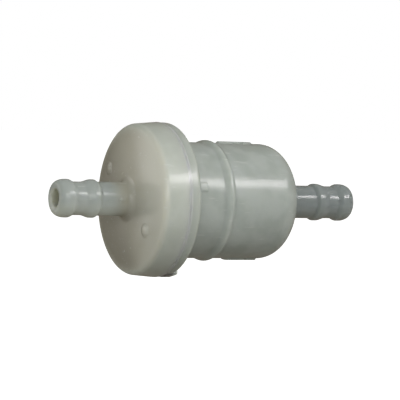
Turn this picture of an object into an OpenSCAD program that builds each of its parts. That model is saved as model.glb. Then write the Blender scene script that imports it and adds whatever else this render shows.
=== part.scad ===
// Inline fuel filter: two welded nylon mouldings around a pleated paper element.
// The flow axis is X, the inlet is at -X, and the origin is at mid-length on that axis.

/* [Housing] */
// Outer diameter of the canister body
body_d = 26.4; // [20:0.2:33]
// Wall of the canister body and its dome
body_wall = 1.5; // [1:0.1:2]
// Length of the straight canister body, behind its flange
body_len = 23.5; // [20:0.5:40]
// Length of the domed end
dome_len = 7.1; // [5:0.1:10]
// Width of the flat ring between the dome and the outlet nipple's fillet
dome_flat = 1.0; // [0.2:0.1:2]
// Radial reach of the weld flange past the body
flange_reach = 4.25; // [3.6:0.05:5.5]
// Thickness of the weld flange
flange_t = 2.9; // [1.6:0.1:4]
// Fillet between the body and its flange
flange_fillet = 0.8; // [0.3:0.1:1]
// Rounding of the flange's rear edge
flange_round = 1.3; // [0.2:0.1:1.4]
// Distance from the edge of the cap's face to the weld
cap_depth = 6.4; // [5.4:0.1:10]
// Height that the cap's crowned face rises from its edge to the nipple
face_rise = 0.9; // [0.5:0.1:1.5]
// Slope of the cap's face where it meets the fillet of the rim
face_slope = 15; // [10:1:20]
// Wall of the cap's face
cap_wall = 2.0; // [1.4:0.1:2.4]
// Radial height of the cap's rim over the weld flange
rim_proud = 0.1; // [0.05:0.05:0.4]
// Draft of the rim, taken off its radius at the face
rim_draft = 0.45; // [0:0.05:0.6]
// Fillet between the cap's face and its rim
rim_fillet = 1.5; // [0.5:0.1:2]
// Bevel on each side of the weld line
weld_bevel = 0.25; // [0.1:0.05:0.4]

/* [Register lip] */
// Height of the lip that centres the cap on the canister
lip_h = 1.5; // [0.5:0.1:2]
// Wall of the lip
lip_wall = 1.5; // [1:0.1:2]
// Wall of the cap's rim around the lip
rim_wall = 2.25; // [1.6:0.05:2.6]
// Radial gap between the lip and the cap
lip_gap = 0.1; // [0.05:0.05:0.3]

/* [Bead ring] */
// Radial height of the bead ring on the body
ring_h = 0.6; // [0.2:0.1:1.2]
// Distance from the flange to the ring's crest
ring_at = 9.7; // [6:0.1:14]
// Length of the ring's gentle side, towards the flange
ring_front = 1.8; // [1:0.1:3]
// Length of the ring's steep side, towards the dome
ring_back = 1.3; // [0.4:0.1:2]

/* [Hose nipples] */
// Length of the inlet nipple, from its tip to the edge of the cap's face
inlet_len = 18.7; // [15:0.1:30]
// Length of the outlet nipple, from the dome to its tip
outlet_len = 17.4; // [15:0.1:30]
// Diameter over the beads
bead_d = 8.6; // [8.2:0.1:11]
// Diameter of the groove between the beads
groove_d = 7.5; // [7:0.1:8]
// Diameter of the shank behind the beads
shank_d = 7.6; // [7:0.1:8]
// Diameter of the tip's flat face
tip_d = 6.0; // [5.4:0.1:6.4]
// Diameter of the fuel bore
bore_d = 4.0; // [2.5:0.1:4.2]
// Length of the rounded tip
tip_len = 2.3; // [1.5:0.1:3]
// Length of the cylindrical land on each bead's crest
land_len = 0.6; // [0.4:0.1:1]
// Length of the first bead's fall into the groove
first_fall = 1.6; // [1:0.1:2]
// Length of the groove's flat bottom
groove_len = 1.7; // [1:0.1:2]
// Length of the ramp from the groove up to the second bead
second_rise = 2.5; // [1.5:0.1:3]
// Length of the second bead's fall to the shank
second_fall = 1.1; // [0.6:0.1:1.5]
// Fillet at the root of the inlet nipple
inlet_fillet = 1.5; // [0.3:0.1:2]
// Fillet at the root of the outlet nipple
outlet_fillet = 1.0; // [0.3:0.1:1.4]
// Rounding of the bore's mouth
mouth_round = 0.5; // [0.2:0.1:0.6]

/* [Moulded marks] */
// Diameter of each pip on the cap's face
pip_d = 3.4; // [2:0.1:4]
// Height of each pip
pip_h = 0.35; // [0.1:0.05:0.5]
// Distance of each pip from the axis
pip_at = 11.4; // [9:0.1:12]
// Angle of the upper pip from the top, to the left as seen along the flow
pip_angle = 55; // [0:1:180]
// Height of the raised marks on the body
mark_h = 0.4; // [0.1:0.05:0.5]
// Length of the raised flow arrow
arrow_len = 8.8; // [5:0.1:9]
// Width of the arrow's head
arrow_w = 4.0; // [2:0.1:6]
// Width of the arrow's stem
arrow_stem_w = 1.5; // [0.8:0.1:1.8]
// Length of the arrow's head
arrow_head = 3.0; // [2:0.1:4]
// Distance from the arrow's point to the dome
arrow_to_dome = 1.9; // [0:0.1:2.2]
// Length of the first raised bar, nearer the ring
bar_1_len = 4.4; // [2:0.1:5]
// Length of the second raised bar, nearer the dome
bar_2_len = 2.5; // [2:0.1:5]
// Width of the raised bars
bar_w = 3.4; // [2:0.1:5]
// Gap between the raised bars, and between them and the dome
bar_gap = 0.5; // [0.3:0.1:1]
// Side of the square gate pad behind the flange
pad_side = 2.0; // [1:0.1:3]
// Angle of the gate pad above the side of the body
pad_angle = 15; // [0:1:60]
// Gap between the gate pad and the fillet of the flange
pad_gap = 0.8; // [0.2:0.1:1]
// Width of the index tab, around the flange
tab_w = 4.0; // [2:0.1:6]
// Length of the index tab behind the weld
tab_len = 3.6; // [2.5:0.1:4]
// Angle of the index tab from the bottom of the flange
tab_angle = 15; // [0:1:90]
// Distance of the index tab from the bevel of the weld
tab_set_back = 0.2; // [0.1:0.05:0.5]
// Height of the index tab above the flange's edge
tab_proud = 0.05; // [0.05:0.05:0.5]
// Height of the index tab, inwards from its top
tab_h = 3.0; // [2:0.1:3.6]

/* [Filter element] */
// Gap for the flow between the element and the body's wall
flow_gap = 1.3; // [0.8:0.1:2]
// Number of pleats
pleats = 24; // [16:1:26]
// Thickness of the paper
paper_t = 0.35; // [0.2:0.05:0.4]
// Share of a pleat's pitch that half of its crest takes up
crest_share = 0.23; // [0.2:0.01:0.26]
// Share of a pleat's pitch that half of its valley takes up
valley_share = 0.12; // [0.1:0.01:0.16]
// Gap between the pleats' valleys and the core tube
paper_core_gap = 0.1; // [0.05:0.05:0.3]
// Thickness of the seam clip
clip_t = 0.25; // [0.15:0.05:0.3]
// How far the seam clip reaches down its pleat
clip_depth = 1.6; // [1:0.1:2.5]
// Radial gap between the seal's sleeve and the core tube
core_gap = 0.3; // [0.2:0.1:0.6]
// Wall of the core tube
core_wall = 0.6; // [0.4:0.1:0.8]
// Diameter of the core tube's holes
core_hole_d = 1.6; // [1:0.1:2]
// Rows of holes along the core tube
core_rows = 6; // [3:1:8]
// Holes in each row of the core tube
core_columns = 6; // [4:2:8]
// Thickness of each end disc
disc_t = 0.8; // [0.5:0.1:1.2]
// Height of each end disc's rim above the disc
disc_rim_h = 1.2; // [0.8:0.1:2]
// Wall of each end disc's rim
disc_rim_wall = 0.6; // [0.4:0.1:0.8]
// Thickness of the adhesive in each end disc
potting_t = 1.0; // [0.5:0.1:1.5]
// Gap between the pleats' crests and the rim of the end discs
crest_gap = 0.4; // [0.35:0.05:0.8]

/* [Element supports] */
// Height of the cap's ribs that hold the closed end disc
rib_h = 3.5; // [2:0.1:4]
// Thickness of each rib
rib_t = 1.2; // [0.8:0.1:1.6]
// Number of ribs
rib_count = 4; // [3:1:6]
// Inner end of the ribs, from the axis
rib_from = 3.4; // [2.8:0.1:5]
// Outer diameter of the outlet spigot, inside the seal
spigot_d = 6.0; // [5.4:0.1:6.4]
// Wall of the seal around the spigot
seal_wall = 1.0; // [0.6:0.1:1.2]
// Thickness of the seal's flange
seal_flange_t = 0.8; // [0.5:0.1:1.2]
// Length of the seal's sleeve
seal_sleeve = 2.2; // [1.5:0.1:2.4]
// Length of the spigot past the seal's sleeve
spigot_past = 0.4; // [0.2:0.1:1]
// Radial width of the seal's flange past its sleeve
seal_flange_w = 1.0; // [0.6:0.1:1.4]

/* [Hidden] */

arc_steps = 8;
curve_steps = 6;
face_steps = 10;
dome_steps = 14;
// How far joined shapes reach into each other, and cutters past what they cut.
overlap = 0.3;
cutter_h = 2;

// Stations along the flow axis, from the inlet tip to the outlet tip.
total_len = inlet_len + cap_depth + flange_t + body_len + dome_len + outlet_len;
inlet_tip_x = -total_len / 2;
face_x = inlet_tip_x + inlet_len;
cap_inner_x = face_x + cap_wall;
weld_x = face_x + cap_depth;
flange_rear_x = weld_x + flange_t;
ring_x = flange_rear_x + ring_at;
dome_x = flange_rear_x + body_len;
dome_end_x = dome_x + dome_len;
outlet_tip_x = dome_end_x + outlet_len;

// Radii.
body_r = body_d / 2;
body_inner_r = body_r - body_wall;
flange_r = body_r + flange_reach;
rim_r = flange_r + rim_proud;
rim_face_r = rim_r - rim_draft;
face_edge_r = rim_face_r - rim_fillet;
socket_r = rim_r - rim_wall;
lip_r = socket_r - lip_gap;
shank_r = shank_d / 2;
bead_r = bead_d / 2;
groove_r = groove_d / 2;
bore_r = bore_d / 2;
spigot_r = spigot_d / 2;
seal_r = spigot_r + seal_wall;
boss_r = seal_r + seal_flange_w;

// Cap's face: flat at the nipple's root, then falling as a power of the distance to meet the rim's fillet.
face_root_r = shank_r + inlet_fillet;
face_root_x = face_x - face_rise;
face_end_r = face_edge_r + rim_fillet * sin(face_slope);
face_end_x = face_x + rim_fillet * (1 - cos(face_slope));
face_span = face_end_r - face_root_r;
face_fall = face_end_x - face_root_x;
face_power = tan(face_slope) * face_span / face_fall;

// Dome: a quarter ellipse from the body down to a small flat around the nipple.
dome_foot_x = dome_end_x - outlet_fillet;
fillet_end_r = shank_r + outlet_fillet;
dome_flat_r = fillet_end_r + dome_flat;
dome_inner_x = dome_foot_x - body_wall;

// Element, seated between the cap's ribs and the seal on the boss.
element_r = body_inner_r - flow_gap;
tray_r = element_r - disc_rim_wall;
element_front_x = cap_inner_x + rib_h;
element_back_x = dome_x;
paper_front_x = element_front_x + disc_t + potting_t;
paper_back_x = element_back_x - disc_t - potting_t;
paper_len = paper_back_x - paper_front_x;
core_inner_r = seal_r + core_gap;
core_r = core_inner_r + core_wall;
valley_r = core_r + paper_core_gap;
crest_r = tray_r - crest_gap;
shoulder_x = element_back_x + seal_flange_t;
spigot_end_x = element_back_x - seal_sleeve - spigot_past;

// Pleats: half widths of the folds on the paper's outer side.
pleat_step = 360 / pleats;
crest_half = crest_share * 2 * PI * crest_r / pleats;
valley_half = valley_share * 2 * PI * valley_r / pleats;

// Raised bars under the body, as [place, length] along the axis.
bar_2_x = dome_x - bar_gap - bar_2_len;
bar_1_x = bar_2_x - bar_gap - bar_1_len;
bars = [[bar_1_x, bar_1_len], [bar_2_x, bar_2_len]];

// Points of an arc around c, as [radius from the axis, place along the axis].
function arc(c, r, from, to) = [
    for (i = [0 : arc_steps])
        let (a = from + (to - from) * i / arc_steps)
        [c[0] + r * cos(a), c[1] + r * sin(a)]
];

// Points of a smooth S-shaped change of radius between two places, without its first point.
function s_curve(x0, r0, x1, r1) = [
    for (i = [1 : curve_steps])
        let (t = i / curve_steps)
        [r0 + (r1 - r0) * (1 - cos(180 * t)) / 2, x0 + (x1 - x0) * t]
];

// Place along the axis of the cap's face, at a distance from the axis.
function face_at(r) = face_root_x + face_fall * pow((r - face_root_r) / face_span, face_power);

// Points of the cap's face between its two fillets.
function face_curve() = [
    for (i = [1 : face_steps - 1])
        let (r = face_root_r + face_span * i / face_steps)
        [r, face_at(r)]
];

// Points of a quarter ellipse that leaves the axis direction at [r0, x0] and meets [r1, x1] squarely.
function dome_curve(x0, r0, x1, r1) = [
    for (i = [0 : dome_steps])
        let (a = 90 * i / dome_steps)
        [r1 + (r0 - r1) * cos(a), x0 + (x1 - x0) * sin(a)]
];

// Outside of a nipple from the bore's mouth at the tip to the shank. way is 1 where the root lies at +X.
function nipple_curve(tip_x, way) =
    let (
        land_1 = tip_len,
        fall_1 = land_1 + land_len,
        groove_1 = fall_1 + first_fall,
        rise_2 = groove_1 + groove_len,
        land_2 = rise_2 + second_rise,
        fall_2 = land_2 + land_len,
        shank_1 = fall_2 + second_fall,
        tip_r = tip_d / 2,
        mouth = arc([bore_r + mouth_round, mouth_round], mouth_round, 180, 270),
        tip = [
            for (i = [0 : arc_steps])
                let (a = 90 * i / arc_steps)
                [tip_r + (bead_r - tip_r) * sin(a), tip_len * (1 - cos(a))]
        ],
        beads = concat(
            [[bead_r, fall_1]],
            s_curve(fall_1, bead_r, groove_1, groove_r),
            [[groove_r, rise_2]],
            s_curve(rise_2, groove_r, land_2, bead_r),
            [[bead_r, fall_2]],
            s_curve(fall_2, bead_r, shank_1, shank_r)
        )
    )
    [for (p = concat(mouth, tip, beads)) [p[0], tip_x + way * p[1]]];

function backwards(points) = [for (i = [len(points) - 1 : -1 : 0]) points[i]];

// Outline of the pleats: a star with a flat crest and a flat valley on each pleat.
function star(outer_r, outer_half, inner_r, inner_half) = [
    for (i = [0 : pleats - 1])
        for (p = [
            [outer_r, -outer_half, 0], [outer_r, outer_half, 0],
            [inner_r, -inner_half, 0.5], [inner_r, inner_half, 0.5]
        ])
            let (a = (i + p[2]) * pleat_step + asin(p[1] / p[0]))
            [p[0] * cos(a), p[0] * sin(a)]
];

// Turns an outline of [radius, place along X] points around the X axis.
module turned(points) {
    rotate([0, 90, 0])
        rotate_extrude($fn = 128)
            polygon(points);
}

// Ring around the X axis.
module ring(x, len, outer, inner) {
    turned([[inner, x], [outer, x], [outer, x + len], [inner, x + len]]);
}

// Places its children from the top of the body around the X axis, at an angle towards -Y.
module around(angle) {
    rotate([angle, 0, 0]) children();
}

module cap_shell() {
    turned(concat(
        nipple_curve(inlet_tip_x, 1),
        arc([face_root_r, face_root_x - inlet_fillet], inlet_fillet, 180, 90),
        face_curve(),
        arc([face_edge_r, face_x + rim_fillet], rim_fillet, face_slope - 90, 0),
        [
            [rim_r, weld_x - weld_bevel],
            [rim_r - weld_bevel, weld_x],
            [socket_r, weld_x],
            [socket_r, cap_inner_x],
            [bore_r, cap_inner_x]
        ]
    ));
}

// Ribs inside the cap, which stand on the closed end disc.
module cap_ribs() {
    for (i = [0 : rib_count - 1])
        around(i * 360 / rib_count)
            translate([cap_inner_x - overlap, -rib_t / 2, rib_from])
                cube([rib_h + overlap, rib_t, tray_r - rib_from]);
}

// Low round pips on the cap's face.
module cap_pips() {
    dome_r = (pow(pip_d / 2, 2) + pow(pip_h, 2)) / (2 * pip_h);
    for (i = [0 : 1])
        around(i * 180 - pip_angle)
            translate([face_at(pip_at), 0, pip_at])
                intersection() {
                    translate([dome_r - pip_h, 0, 0]) sphere(dome_r, $fn = 96);
                    translate([-cutter_h, -pip_d, -pip_d])
                        cube([cutter_h + overlap, 2 * pip_d, 2 * pip_d]);
                }
}

module inlet_cap() {
    color([0.70, 0.73, 0.69])
        union() {
            cap_shell();
            cap_ribs();
            cap_pips();
        }
}

module canister_shell() {
    turned(concat(
        [
            [body_inner_r, weld_x],
            [lip_r - lip_wall, weld_x],
            [lip_r - lip_wall, weld_x - lip_h],
            [lip_r, weld_x - lip_h],
            [lip_r, weld_x],
            [flange_r - weld_bevel, weld_x],
            [flange_r, weld_x + weld_bevel]
        ],
        arc([flange_r - flange_round, flange_rear_x - flange_round], flange_round, 0, 90),
        arc([body_r + flange_fillet, flange_rear_x + flange_fillet], flange_fillet, 270, 180),
        [[body_r, ring_x - ring_front]],
        s_curve(ring_x - ring_front, body_r, ring_x, body_r + ring_h),
        s_curve(ring_x, body_r + ring_h, ring_x + ring_back, body_r),
        dome_curve(dome_x, body_r, dome_foot_x, dome_flat_r),
        arc([fillet_end_r, dome_end_x], outlet_fillet, 270, 180),
        backwards(nipple_curve(outlet_tip_x, -1)),
        [
            [bore_r, spigot_end_x],
            [spigot_r, spigot_end_x],
            [spigot_r, shoulder_x],
            [boss_r, shoulder_x]
        ],
        backwards(dome_curve(dome_x, body_inner_r, dome_inner_x, boss_r))
    ));
}

// Skin of the body, on which the raised marks stand.
module mark_skin() {
    ring(flange_rear_x, body_len, body_r + mark_h, body_r - overlap);
}

// Flow arrow along the top of the body, with its point near the dome.
module flow_arrow() {
    neck = arrow_len - arrow_head;
    intersection() {
        mark_skin();
        translate([dome_x - arrow_to_dome - arrow_len, 0, body_r - cutter_h])
            linear_extrude(2 * cutter_h)
                polygon([
                    [0, -arrow_stem_w / 2], [neck, -arrow_stem_w / 2], [neck, -arrow_w / 2],
                    [arrow_len, 0],
                    [neck, arrow_w / 2], [neck, arrow_stem_w / 2], [0, arrow_stem_w / 2]
                ]);
    }
}

// Two plain raised bars along the bottom of the body.
module plain_bars() {
    for (bar = bars)
        intersection() {
            mark_skin();
            around(180)
                translate([bar[0], -bar_w / 2, body_r - cutter_h])
                    cube([bar[1], bar_w, 2 * cutter_h]);
        }
}

// Square pad where the moulding was fed, just behind the flange.
module gate_pad() {
    intersection() {
        mark_skin();
        around(90 - pad_angle)
            translate([flange_rear_x + flange_fillet + pad_gap, -pad_side / 2, body_r - cutter_h])
                cube([pad_side, pad_side, 2 * cutter_h]);
    }
}

// Tab that marks the canister's angle while it is welded.
module index_tab() {
    start = weld_bevel + tab_set_back;
    around(180 - tab_angle)
        translate([weld_x + start, -tab_w / 2, flange_r + tab_proud - tab_h])
            cube([tab_len - start, tab_w, tab_h]);
}

module canister() {
    color([0.60, 0.64, 0.61])
        union() {
            canister_shell();
            flow_arrow();
            plain_bars();
            gate_pad();
            index_tab();
        }
}

module pleated_paper() {
    color([0.86, 0.79, 0.62])
        translate([paper_front_x, 0, 0])
            rotate([0, 90, 0])
                linear_extrude(paper_len)
                    difference() {
                        polygon(star(crest_r, crest_half, valley_r + paper_t, valley_half));
                        polygon(star(crest_r - paper_t, crest_half - paper_t, valley_r, valley_half + paper_t));
                    }
}

// Strip folded over one pleat's crest, with its slot cut from the pleat's own outline.
module seam_clip() {
    color([0.75, 0.76, 0.78])
        translate([paper_front_x, 0, 0])
            rotate([0, 90, 0])
                linear_extrude(paper_len)
                    difference() {
                        translate([crest_r - clip_depth, -crest_half - clip_t])
                            square([clip_depth + clip_t, 2 * (crest_half + clip_t)]);
                        polygon(star(crest_r, crest_half, valley_r + paper_t, valley_half));
                    }
}

module core_tube() {
    row_step = paper_len / (core_rows + 1);
    color([0.88, 0.88, 0.84])
        difference() {
            ring(paper_front_x, paper_len, core_r, core_inner_r);
            for (row = [1 : core_rows])
                for (i = [0 : core_columns / 2 - 1])
                    translate([paper_front_x + row * row_step, 0, 0])
                        rotate([(i + (row % 2) / 2) * 360 / core_columns, 0, 0])
                            cylinder(h = 2 * (core_r + overlap), d = core_hole_d, center = true, $fn = 32);
        }
}

module closed_end_disc() {
    color([0.30, 0.32, 0.34])
        union() {
            ring(element_front_x, disc_t, element_r, 0);
            ring(element_front_x, disc_t + disc_rim_h, element_r, tray_r);
        }
}

module open_end_disc() {
    color([0.30, 0.32, 0.34])
        union() {
            ring(element_back_x - disc_t, disc_t, element_r, seal_r);
            ring(element_back_x - disc_t - disc_rim_h, disc_t + disc_rim_h, element_r, tray_r);
        }
}

module inlet_potting() {
    color([0.80, 0.62, 0.30])
        ring(element_front_x + disc_t, potting_t, tray_r, 0);
}

module outlet_potting() {
    color([0.80, 0.62, 0.30])
        ring(paper_back_x, potting_t, tray_r, core_inner_r);
}

module spigot_seal() {
    color([0.12, 0.12, 0.12])
        union() {
            ring(element_back_x - seal_sleeve, seal_sleeve + seal_flange_t, seal_r, spigot_r);
            ring(element_back_x, seal_flange_t, boss_r, spigot_r);
        }
}

inlet_cap();
canister();
pleated_paper();
seam_clip();
core_tube();
closed_end_disc();
open_end_disc();
inlet_potting();
outlet_potting();
spigot_seal();
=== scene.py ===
"""Inline fuel filter of milky nylon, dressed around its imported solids.

The filter's shape is turned about the X axis, with the inlet at -X. Sizes are in millimetres and angles in
degrees; meshes are written in metres. The two housing mouldings and the pleated paper are worked out here as
smooth surfaces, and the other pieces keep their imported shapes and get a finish.
"""

import logging
import math
from dataclasses import dataclass
from enum import Enum

import bpy
import numpy as np
from mathutils import Matrix, Vector


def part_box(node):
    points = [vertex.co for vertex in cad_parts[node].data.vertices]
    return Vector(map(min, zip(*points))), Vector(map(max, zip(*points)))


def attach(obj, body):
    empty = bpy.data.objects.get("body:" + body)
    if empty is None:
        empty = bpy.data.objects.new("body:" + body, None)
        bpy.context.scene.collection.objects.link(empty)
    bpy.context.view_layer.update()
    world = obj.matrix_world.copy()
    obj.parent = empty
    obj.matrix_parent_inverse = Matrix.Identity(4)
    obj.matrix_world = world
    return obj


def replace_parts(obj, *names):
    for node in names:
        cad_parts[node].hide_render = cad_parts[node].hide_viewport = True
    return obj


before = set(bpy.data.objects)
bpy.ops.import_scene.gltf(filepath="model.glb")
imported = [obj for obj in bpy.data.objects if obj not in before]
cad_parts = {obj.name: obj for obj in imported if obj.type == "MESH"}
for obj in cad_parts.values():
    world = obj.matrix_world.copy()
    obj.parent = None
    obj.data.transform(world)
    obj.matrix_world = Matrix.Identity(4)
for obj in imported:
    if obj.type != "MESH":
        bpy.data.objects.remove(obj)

LOG = logging.getLogger("fuel_filter")
MM = 0.001
BODY = "root"

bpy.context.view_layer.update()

Array = np.ndarray
Pair = tuple[float, float]
Triple = tuple[float, float, float]
Material = bpy.types.Material
Node = bpy.types.Node
Socket = bpy.types.NodeSocket
Value = Socket | Triple | float


# --------------------------------------
# Outlines: each is an array of rows [place along X, radius], in millimetres. A stretch of outline runs from
# [x0, r0] to [x1, r1], and its last argument is its number of steps.
# --------------------------------------


def arc(centre_x: float, centre_r: float, radius: float, start: float, end: float, steps: int) -> Array:
    """A round corner: points at one distance from a centre, at even angles, 0 along +X and 90 outwards."""
    turn = np.radians(np.linspace(start, end, steps + 1))
    return np.column_stack([centre_x + radius * np.cos(turn), centre_r + radius * np.sin(turn)])


def line(x0: float, r0: float, x1: float, r1: float, steps: int) -> Array:
    """Evenly spaced points from one place to another."""
    share = np.linspace(0.0, 1.0, steps + 1)[:, None]
    return (1.0 - share) * np.array([[x0, r0]]) + share * np.array([[x1, r1]])


def s_curve(x0: float, r0: float, x1: float, r1: float, steps: int) -> Array:
    """A change of radius that starts and ends level: half a wave of a cosine between the two radii."""
    share = np.linspace(0.0, 1.0, steps + 1)
    return np.column_stack([x0 + (x1 - x0) * share, r0 + (r1 - r0) * (1.0 - np.cos(np.pi * share)) / 2.0])


def quarter_ellipse(x0: float, r0: float, x1: float, r1: float, steps: int) -> Array:
    """A dome: leaves its start level and meets its end squarely, as the sine and cosine of one angle."""
    turn = np.radians(np.linspace(0.0, 90.0, steps + 1))
    return np.column_stack([x0 + (x1 - x0) * np.sin(turn), r1 + (r0 - r1) * np.cos(turn)])


def crown(x0: float, r0: float, x1: float, r1: float, slope: float, steps: int) -> Array:
    """A crowned face: it leaves [x0, r0] square to the axis and falls as a power of the distance from there.

    The power is chosen so that the face reaches [x1, r1] at the given slope: slope times span over fall.

    Args:
        x0: Place of the face's inner edge.
        r0: Radius of its inner edge.
        x1: Place of its outer edge.
        r1: Radius of its outer edge.
        slope: Fall per unit of radius at the outer edge.
        steps: Number of steps.

    Returns:
        Rows of [x, r].
    """
    share = np.linspace(0.0, 1.0, steps + 1)
    power = slope * (r1 - r0) / (x1 - x0)
    return np.column_stack([x0 + (x1 - x0) * share**power, r0 + (r1 - r0) * share])


def joined(*stretches: Array) -> Array:
    """Puts stretches end to end and leaves out each point that repeats the one before it.

    Args:
        *stretches: Rows of [x, r], in order.

    Returns:
        All their rows, without repeats.
    """
    rows = np.vstack(stretches)
    steps = np.linalg.norm(np.diff(rows, axis=0), axis=1)
    return rows[np.concatenate([[True], steps > 1e-6])]


def with_middle(before: Array, middle: Array, after: Array) -> tuple[Array, Array]:
    """Three stretches as one outline, and an array that is true for the rows of the middle one."""
    in_middle = np.repeat([False, True, False], [len(before), len(middle), len(after)])
    return np.vstack([before, middle, after]), in_middle


def smooth_step(value: Array) -> Array:
    """The S-shaped ramp 3t^2 - 2t^3, held at 0 below 0 and at 1 above 1."""
    share = np.clip(value, 0.0, 1.0)
    return share * share * (3.0 - 2.0 * share)


def low_dome(away_squared: Array, radius: float) -> Array:
    """A round bump: the S-shaped ramp of 1 - d^2 / R^2, which is 1 in the middle and 0 from R outwards."""
    return smooth_step(1.0 - away_squared / radius**2)


def angle_off(turn: Array, middle: float) -> Array:
    """Angles from a middle one, between -180 and 180."""
    return (turn - middle + 180.0) % 360.0 - 180.0


# --------------------------------------
# Meshes
# --------------------------------------


@dataclass
class Surface:
    """Points and faces of one or more closed surfaces, in millimetres."""

    points: Array
    faces: Array

    def __add__(self, other: "Surface") -> "Surface":
        """Both surfaces as one, side by side."""
        faces = np.vstack([self.faces, other.faces + len(self.points)])
        return Surface(np.vstack([self.points, other.points]), faces)

    def outwards(self) -> "Surface":
        """The same surface with its faces pointing outwards, found from the sign of its volume.

        Returns:
            This surface, or a copy with each face turned over.
        """
        a, b, c, d = (self.points[self.faces[:, k]] for k in range(4))
        volume = np.einsum("ij,ij->i", a, np.cross(b, c) + np.cross(c, d)).sum()
        return self if volume > 0 else Surface(self.points, self.faces[:, ::-1])

    def piece(self, name: str, material: Material, slot: str) -> bpy.types.Object:
        """Makes the mesh object, smooth shaded, riding on the body.

        Args:
            name: Name of the piece.
            material: Its finish.
            slot: Name of the record's material slot that the finish belongs to; not used.

        Returns:
            The new object.
        """
        mesh = bpy.data.meshes.new(name)
        mesh.vertices.add(len(self.points))
        mesh.vertices.foreach_set("co", (self.points * MM).astype(np.float32).ravel())
        mesh.loops.add(self.faces.size)
        mesh.loops.foreach_set("vertex_index", self.faces.astype(np.int32).ravel())
        mesh.polygons.add(len(self.faces))
        mesh.polygons.foreach_set("loop_start", np.arange(0, self.faces.size, 4, dtype=np.int32))
        mesh.polygons.foreach_set("use_smooth", np.ones(len(self.faces), dtype=bool))
        mesh.materials.append(material)
        mesh.update(calc_edges=True)
        mesh.validate()
        thing = in_scene(name, mesh)
        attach(thing, BODY)
        return thing


def in_scene(name: str, data: bpy.types.ID) -> bpy.types.Object:
    """Makes an object of a mesh, a light or a camera, and puts it into the scene.

    Args:
        name: Name of the object.
        data: What it shows.

    Returns:
        The new object.
    """
    thing = bpy.data.objects.new(name, data)
    bpy.context.scene.collection.objects.link(thing)
    return thing


def grid_faces(rows: int, columns: int) -> Array:
    """Four-cornered faces of a grid that closes on itself both ways, numbered row by row.

    Args:
        rows: Number of rows.
        columns: Points in each row.

    Returns:
        One line of four point numbers per face.
    """
    i, j = np.meshgrid(np.arange(rows), np.arange(columns), indexing="ij")
    i_next, j_next = (i + 1) % rows, (j + 1) % columns
    corners = (i * columns + j, i_next * columns + j, i_next * columns + j_next, i * columns + j_next)
    return np.stack([c.ravel() for c in corners], axis=1)


def spun(rows: Array, turn: Array) -> tuple[Array, Array]:
    """Two grids, of x and of r: an outline's points, repeated for each angle."""
    return tuple(np.repeat(column[:, None], len(turn), axis=1) for column in rows.T)


def revolved(x: Array, r: Array, turn: Array) -> Surface:
    """Carries a closed outline round the X axis: each point is [x, r cos a, r sin a].

    Args:
        x: Places along X for each outline point and each angle.
        r: Radii, in the same grid.
        turn: Angles from +Y towards +Z, in degrees.

    Returns:
        The closed surface.
    """
    a = np.radians(turn)[None, :]
    points = np.stack([x, r * np.cos(a), r * np.sin(a)], axis=-1).reshape(-1, 3)
    return Surface(points, grid_faces(*x.shape)).outwards()


def rounded_block(centre: Array, half: Array, rounding: float, steps: int) -> Surface:
    """A block with rounded edges: a ball of the rounding's radius, pushed out to the block's eight corners.

    Args:
        centre: Middle of the block.
        half: Half of each side.
        rounding: Radius of its edges.
        steps: Stretches in a quarter turn of an edge.

    Returns:
        The closed surface, with its sides along X, Y and Z.
    """
    quarter = np.linspace(0.0, 90.0, steps + 1)
    around = np.radians(np.concatenate([quarter + 90.0 * k for k in range(4)]))
    up = np.radians(np.concatenate([quarter - 90.0, quarter]))[:, None]
    diagonal = np.radians(45.0 + 90.0 * np.repeat(np.arange(4), steps + 1))
    side_up = np.repeat([-1.0, 1.0], steps + 1)[:, None]
    level, flat = np.cos(up), np.ones((len(up), len(around)))
    ball = np.stack([level * np.cos(around), level * np.sin(around), np.sin(up) * flat], axis=-1)
    side_a, side_b = np.sign(np.cos(diagonal)), np.sign(np.sin(diagonal))
    corner = np.stack([side_a * flat, side_b * flat, side_up * flat], axis=-1)
    points = (centre + corner * (half - rounding) + rounding * ball).reshape(-1, 3)
    columns = len(around)
    faces = grid_faces(len(up), columns)[: (len(up) - 1) * columns]
    return closed_caps(Surface(points, faces), len(up), columns).outwards()


def turned_copy(surface: Surface, angle: float) -> Surface:
    """A copy of a surface turned about the X axis.

    Args:
        surface: What to copy.
        angle: Turn from +Y towards +Z.

    Returns:
        The turned copy.
    """
    c, s = math.cos(math.radians(angle)), math.sin(math.radians(angle))
    matrix = np.array([[1.0, 0.0, 0.0], [0.0, c, -s], [0.0, s, c]])
    return Surface(surface.points @ matrix.T, surface.faces)


def closed_caps(surface: Surface, rows: int, columns: int) -> Surface:
    """Closes the first and the last row of an open tube of points with one flat strip of faces each.

    Args:
        surface: The tube, whose rows have the same number of points.
        rows: Number of rows.
        columns: Points in each row, an even number.

    Returns:
        The tube with both ends closed.
    """
    near = np.arange(columns // 2 - 1)
    strip = np.stack([near, near + 1, columns - 2 - near, columns - 1 - near], axis=1)
    last = strip[:, ::-1] + (rows - 1) * columns
    return Surface(surface.points, np.vstack([surface.faces, strip, last]))


# --------------------------------------
# Raised marks: each gives its height over the skin at a place x along the body and s around it.
# --------------------------------------


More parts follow.
